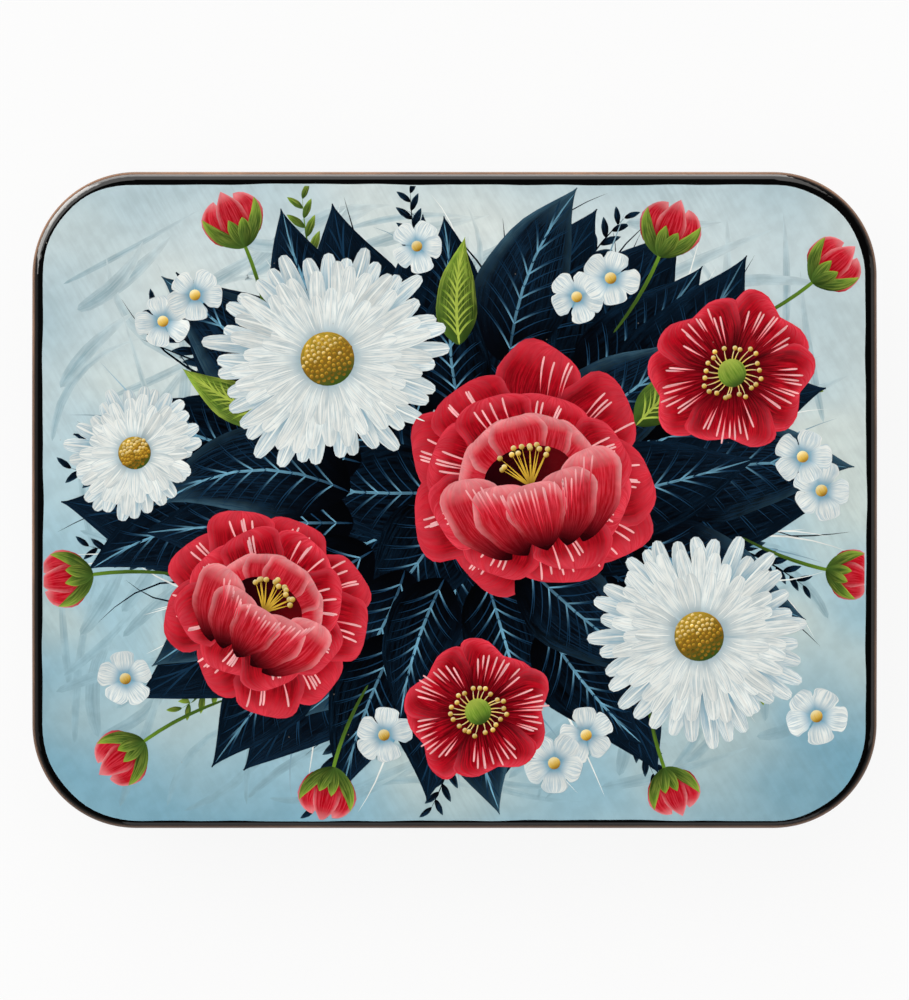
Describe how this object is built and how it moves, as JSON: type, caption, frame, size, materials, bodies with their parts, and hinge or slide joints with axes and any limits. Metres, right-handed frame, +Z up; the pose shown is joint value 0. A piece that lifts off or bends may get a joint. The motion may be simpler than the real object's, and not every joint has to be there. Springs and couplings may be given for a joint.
{
  "type": "lacquer box",
  "caption": "Small hinged lacquer box of papier-mache with rounded corners, a crowned painted lid, a red lining and a brass hinge let into its back wall.",
  "frame": {"origin": "under the middle of the box, on the surface that it stands on", "axes": "+X from left to right along the long side, +Y from the front to the hinged back, +Z up"},
  "size_m": [0.09, 0.07, 0.035],
  "materials": {
    "black_lacquer": "deep polished black lacquer on papier-mache",
    "red_lacquer": "polished cinnabar red lacquer on papier-mache",
    "picture_paint": "oil paint under clear polished lacquer",
    "brass": "plain brass, lightly dulled"
  },
  "bodies": {
    "body": {"body_band": "black_lacquer", "base_board": "red_lacquer", "inner_sleeve": "red_lacquer", "hinge_body_leaf": "brass", "hinge_pin": "brass", "body_leaf_tacks": "brass"},
    "lid": {"lid_band": "black_lacquer", "lid_board": "black_lacquer", "hinge_lid_leaf": "brass", "lid_leaf_tacks": "brass"}
  },
  "joints": [
    {"name": "lid_hinge", "type": "hinge", "parent": "body", "child": "lid", "pos_m": [0, 0.03375, 0.026], "axis": [-1, 0, 0], "range_deg": [0, 100]}
  ]
}
